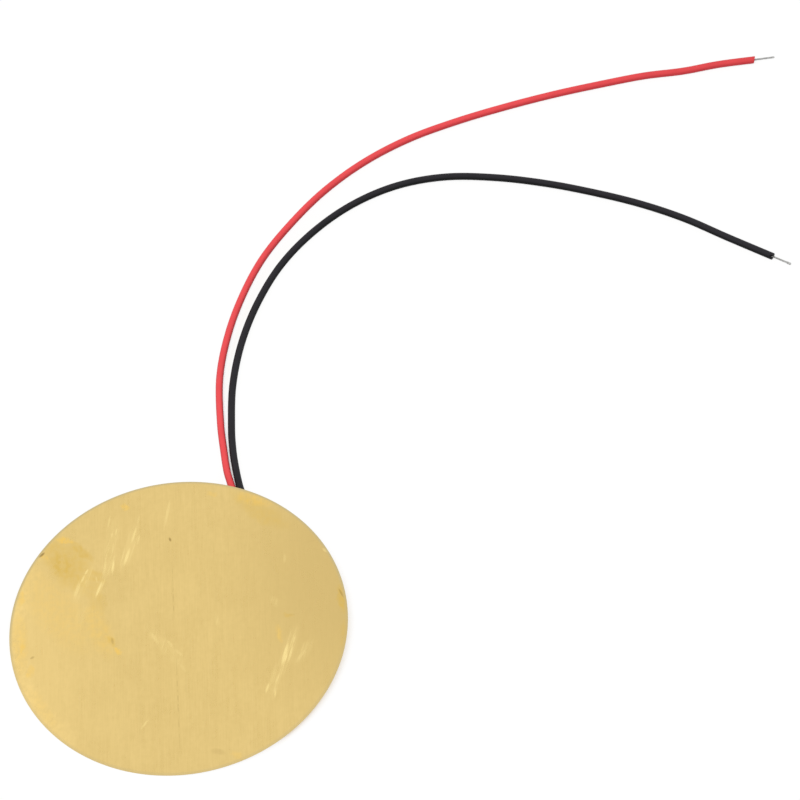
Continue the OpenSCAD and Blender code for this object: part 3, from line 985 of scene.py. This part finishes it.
class PIEZO_OT_lay_leads(bpy.types.Operator):
    """Lay both leads: insulation and twisted strands along their routes"""

    bl_idname = "piezo.lay_leads"
    bl_label = "Lay the leads"

    def execute(self, context):
        settings = context.scene.piezo_leads
        tin = tin_finish(settings)
        for lead in LEADS:
            self.lay(lead, settings, tin)
        return {"FINISHED"}

    def lay(self, lead, settings, tin):
        step = settings.ring_step
        route = lead.route
        line = pressed(lead_line(route, step), lead.press)
        core = [*straight(route[0], route[1], step), *line[:-1],
                *straight(route[-2], route[-1], step), route[-1]]
        colour = getattr(settings, lead.colour)
        sheen_and_skin = getattr(settings, lead.colour + "_worn")
        skin = sleeve_finish(lead.colour + "_sleeve", colour, sheen_and_skin, lead.fade)
        sleeve = add_piece(
            lead.colour + "_lead_sleeve", sleeve_shell(lead, line, settings).mesh(), [skin],
            lead.colour + "_insulation")
        strands = add_piece(
            lead.colour + "_lead_strands", strand_shell(lead, core, settings).mesh(), [tin],
            lead.colour + "_conductor")
        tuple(route[1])


class PIEZO_OT_form_diaphragm(bpy.types.Operator):
    """Form the brass diaphragm with its rolled edge and punched wall"""

    bl_idname = "piezo.form_diaphragm"
    bl_label = "Form the diaphragm"

    def execute(self, context):
        settings = context.scene.piezo_brass
        shell = turned(self.section(settings), settings.segments, self.sheet(settings))
        face = brass_face_finish(settings)
        back = brass_back_finish(settings, joint_of(LEADS[1]))
        piece = add_piece("brass_diaphragm", shell.mesh(), [face, back], "brass_disc")
        for polygon in piece.data.polygons:
            polygon.material_index = 1 if polygon.normal.dot(UP) < -0.5 else 0
        return {"FINISHED"}

    def section(self, settings):
        """Half section from the middle of the face round the rim to the middle of the back."""
        edge = settings.edge_r
        flat_rim = 0.03 * MM
        burr = 0.015 * MM
        steps = 6
        flat = [r * MM for r in (*range(2, 25, 2), 24.5, 24.8)] + [DISC_R - edge - flat_rim]
        arc = [math.pi / 2 * i / steps for i in range(steps + 1)]
        rolled = [(DISC_R - edge * (1 - math.sin(a)), DISC_TOP - edge * (1 - math.cos(a))) for a in arc]
        wall = [(DISC_R, DISC_UNDER + rise) for rise in (0.12 * MM, 0.06 * MM, burr)]
        lower = [(DISC_R - burr, DISC_UNDER)]
        return [(0.0, DISC_TOP), *[(r, DISC_TOP) for r in flat], *rolled, *wall, *lower,
                *[(r, DISC_UNDER) for r in reversed(flat[:-1])], (0.0, DISC_UNDER)]

    def sheet(self, settings):
        """Bends the section's points: a faint wave towards the rim and a rough lower wall."""
        flat_r = 17 * MM
        resting_width = 9 * MM
        waves_per_metre = 90
        wave_layer = 4.7
        tears_round, tears_up, tear_layer = 160, 6 / MM, 1.3
        wall_r, wall_top = DISC_R - 0.02 * MM, DISC_TOP - 0.1 * MM

        def shape(angle, r, z):
            x, y = r * math.cos(angle), r * math.sin(angle)
            free = eased(flat_r, DISC_R, r) * eased(-DISC_R, -DISC_R + resting_width, x)
            at = Vector((x * waves_per_metre, y * waves_per_metre, wave_layer))
            lift = settings.wave * free * noise.noise(at)
            if r > wall_r and z < wall_top:
                at = Vector((angle * tears_round, z * tears_up, tear_layer))
                r -= settings.shear * (1 + noise.noise(at)) / 2
            return on_disc(angle, r, z + lift)

        return shape


class PIEZO_OT_bond_ceramic(bpy.types.Operator):
    """Bond the ceramic with its adhesive and its silver films"""

    bl_idname = "piezo.bond_ceramic"
    bl_label = "Bond the ceramic"

    def execute(self, context):
        settings = context.scene.piezo_ceramic
        silver = silver_finish(settings, joint_of(LEADS[0]))
        self.adhesive(settings)
        self.ceramic(settings)
        self.electrode(settings, silver)
        NODES["bonded_electrode"].material_slots[0].material = silver
        return {"FINISHED"}

    def adhesive(self, settings):
        radius, under, top = round_size("adhesive_film")
        body_r, _, _ = round_size("ceramic_disc")
        climb = 0.12 * MM
        hollow = 2.2
        steps = 6
        hair = 0.01 * MM
        lip = 0.006 * MM
        spread = radius - body_r

        def shape(angle, r, z):
            if r > body_r + hair:
                uneven = wander(angle, 2.4, 5.0) + 0.3 * wander(angle, 7.9, 17.0)
                r += settings.spill * uneven * (r - body_r) / spread
                if z < top - hair:
                    z -= 0.4 * climb * wander(angle, 3.3, 6.0) * (radius - r) / spread
            return on_disc(angle, r, z)

        meniscus = []
        for i in range(steps + 1):
            t = i / steps
            meniscus.append((radius - (spread - hair / 2) * t, top - lip - climb * t ** hollow))
        section = [(0.0, top), (0.5 * body_r, top), (body_r, top), (radius, top), *meniscus,
                   (body_r - hair, under), (0.5 * body_r, under), (0.0, under)]
        shell = turned(section, settings.segments, shape)
        finish = adhesive_finish(settings)
        add_piece("adhesive_fillet", shell.mesh(), [finish], "adhesive_film")

    def chips(self, count):
        """Seeded chips in the ceramic's lower edge: angle, half width and share of the depth."""
        draw = random.Random(31)
        return [(draw.uniform(0, math.tau), draw.uniform(0.012, 0.04), draw.uniform(0.3, 1.0))
                for _ in range(count)]

    def ceramic(self, settings):
        radius, under, top = round_size("ceramic_disc")
        chips = self.chips(count=14)
        bevel = 0.025 * MM
        chipped_width = 0.2 * MM
        margin = 0.3 * MM
        chipped_top = under + 0.12 * MM

        def shape(angle, r, z):
            if r > radius - chipped_width and z < chipped_top:
                bite = max((share * (1 - (math.remainder(angle - at, math.tau) / half) ** 2)
                            for at, half, share in chips), default=0.0)
                r -= settings.chip * max(0.0, bite) * (1 - 0.5 * eased(under, chipped_top, z))
            return on_disc(angle, r, z)

        section = [(0.0, top), (0.5 * radius, top), (radius, top), (radius, chipped_top),
                   (radius, under + bevel), (radius - bevel, under), (radius - margin, under),
                   (0.5 * radius, under), (0.0, under)]
        shell = turned(section, settings.segments, shape)
        finish = ceramic_finish(settings)
        add_piece("ceramic_plate", shell.mesh(), [finish], "ceramic_disc")

    def electrode(self, settings, silver):
        radius, under, top = round_size("free_electrode")
        thick = top - under
        margin = 0.4 * MM

        def shape(angle, r, z):
            if r > 0.9 * radius:
                r += settings.print_edge * (0.7 * wander(angle, 5.5, 9.0) + 0.3 * wander(angle, 8.2, 60.0))
            return on_disc(angle, r, z)

        section = [(0.0, top), (0.5 * radius, top), (radius, top), (radius - thick, under),
                   (radius - margin, under), (0.5 * radius, under), (0.0, under)]
        shell = turned(section, settings.segments, shape)
        add_piece("printed_silver", shell.mesh(), [silver], "free_electrode")


class PIEZO_OT_flow_solder(bpy.types.Operator):
    """Flow the two solder joints round the ends of the leads"""

    bl_idname = "piezo.flow_solder"
    bl_label = "Flow the solder"

    def execute(self, context):
        settings = context.scene.piezo_solder
        finish = solder_finish(settings)
        for k, lead in enumerate(LEADS):
            node = lead.colour + "_solder_joint"
            heights = [p.z for p in own_points(node)]
            lump = solder_lump(max(heights) - min(heights), settings, seed=1.7 + k)
            mesh = flowed(lump, settings.voxel / MM, passes=6)
            mesh.transform(self.place(lead) @ Matrix.Scale(MM, 4))
            add_piece(lead.colour + "_solder_bead", mesh, [finish], node, crease=80)
        return {"FINISHED"}

    def place(self, lead):
        """Axes of a joint: x along the lead, z out of the pad."""
        heading = (lead.route[1] - lead.route[0]).normalized()
        place = Matrix((heading, (-UP).cross(heading), -UP)).transposed().to_4x4()
        place.translation = joint_of(lead)
        return place


class PIEZO_PT_steps(bpy.types.Panel):
    """Steps and settings of the piezo disc"""

    bl_idname = "PIEZO_PT_steps"
    bl_label = "Piezo disc"
    bl_space_type = "VIEW_3D"
    bl_region_type = "UI"
    bl_category = "Piezo disc"

    def draw(self, context):
        for step in STEPS:
            self.layout.operator(step.bl_idname)
        for name in SETTINGS:
            box = self.layout.box()
            group = getattr(context.scene, name)
            for prop in group.bl_rna.properties:
                if prop.identifier not in ("rna_type", "name"):
                    box.prop(group, prop.identifier)


SETTINGS = {
    "piezo_stage": StageSettings,
    "piezo_leads": LeadSettings,
    "piezo_brass": BrassSettings,
    "piezo_ceramic": CeramicSettings,
    "piezo_solder": SolderSettings,
}
STEPS = (
    PIEZO_OT_set_stage,
    PIEZO_OT_lay_leads,
    PIEZO_OT_form_diaphragm,
    PIEZO_OT_bond_ceramic,
    PIEZO_OT_flow_solder,
)


def register():
    for cls in (*SETTINGS.values(), *STEPS, PIEZO_PT_steps):
        bpy.utils.register_class(cls)
    for name, group in SETTINGS.items():
        setattr(bpy.types.Scene, name, PointerProperty(type=group))


def unregister():
    for name in SETTINGS:
        delattr(bpy.types.Scene, name)
    for cls in reversed((*SETTINGS.values(), *STEPS, PIEZO_PT_steps)):
        bpy.utils.unregister_class(cls)


def main():
    register()
    bpy.ops.piezo.set_stage()
    bpy.ops.piezo.lay_leads()
    bpy.ops.piezo.form_diaphragm()
    bpy.ops.piezo.bond_ceramic()
    bpy.ops.piezo.flow_solder()


if __name__ == "__main__":
    main()
